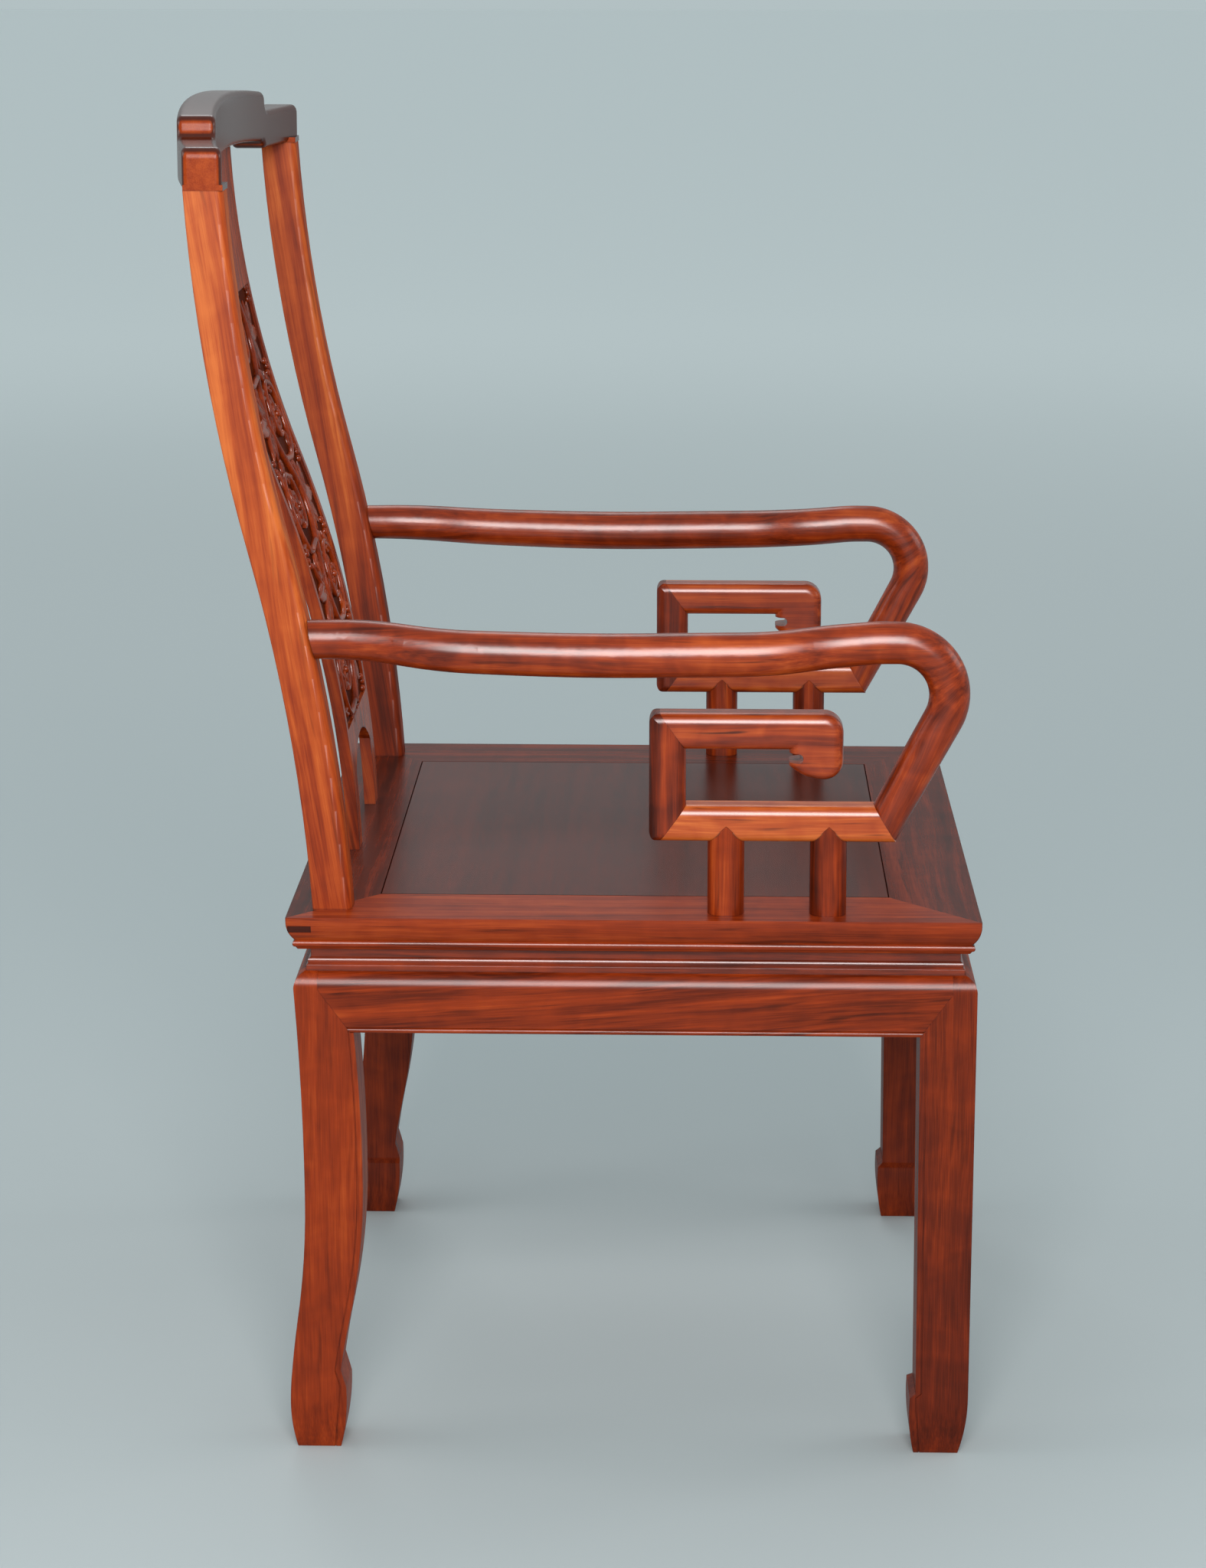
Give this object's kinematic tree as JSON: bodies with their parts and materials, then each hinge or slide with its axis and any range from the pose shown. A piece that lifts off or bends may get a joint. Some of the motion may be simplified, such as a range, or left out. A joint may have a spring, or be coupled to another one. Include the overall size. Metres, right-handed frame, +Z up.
{
  "type": "armchair",
  "caption": "Rosewood armchair with a raised yoke crest, a curved carved splat, round arms, fretted arm supports and hoofed legs.",
  "frame": {"origin": "on the floor, at the middle of the box that the chair fills", "axes": "+Z up, the front towards -Y, +X to the sitter's left"},
  "size_m": [0.56, 0.6278, 1.041],
  "materials": {
    "rosewood": "gloss lacquer",
    "seat_wood": "gloss lacquer",
    "under_wood": "plain"
  },
  "bodies": {
    "root": {"back_apron": "rosewood", "back_left_leg": "rosewood", "back_right_leg": "rosewood", "back_waist": "rosewood", "crest_rail": "rosewood", "front_apron": "rosewood", "front_left_leg": "rosewood", "front_right_leg": "rosewood", "front_waist": "rosewood", "left_apron": "rosewood", "left_arm": "rosewood", "left_back_post": "rosewood", "left_fret_back": "rosewood", "left_fret_base": "rosewood", "left_fret_top": "rosewood", "left_front_post": "rosewood", "left_stile": "rosewood", "left_waist": "rosewood", "panel_left_batten": "under_wood", "panel_right_batten": "under_wood", "right_apron": "rosewood", "right_arm": "rosewood", "right_back_post": "rosewood", "right_fret_back": "rosewood", "right_fret_base": "rosewood", "right_fret_top": "rosewood", "right_front_post": "rosewood", "right_stile": "rosewood", "right_waist": "rosewood", "seat_back_rail": "rosewood", "seat_front_rail": "rosewood", "seat_left_rail": "rosewood", "seat_panel": "seat_wood", "seat_right_rail": "rosewood", "splat": "rosewood"}
  },
  "joints": []
}
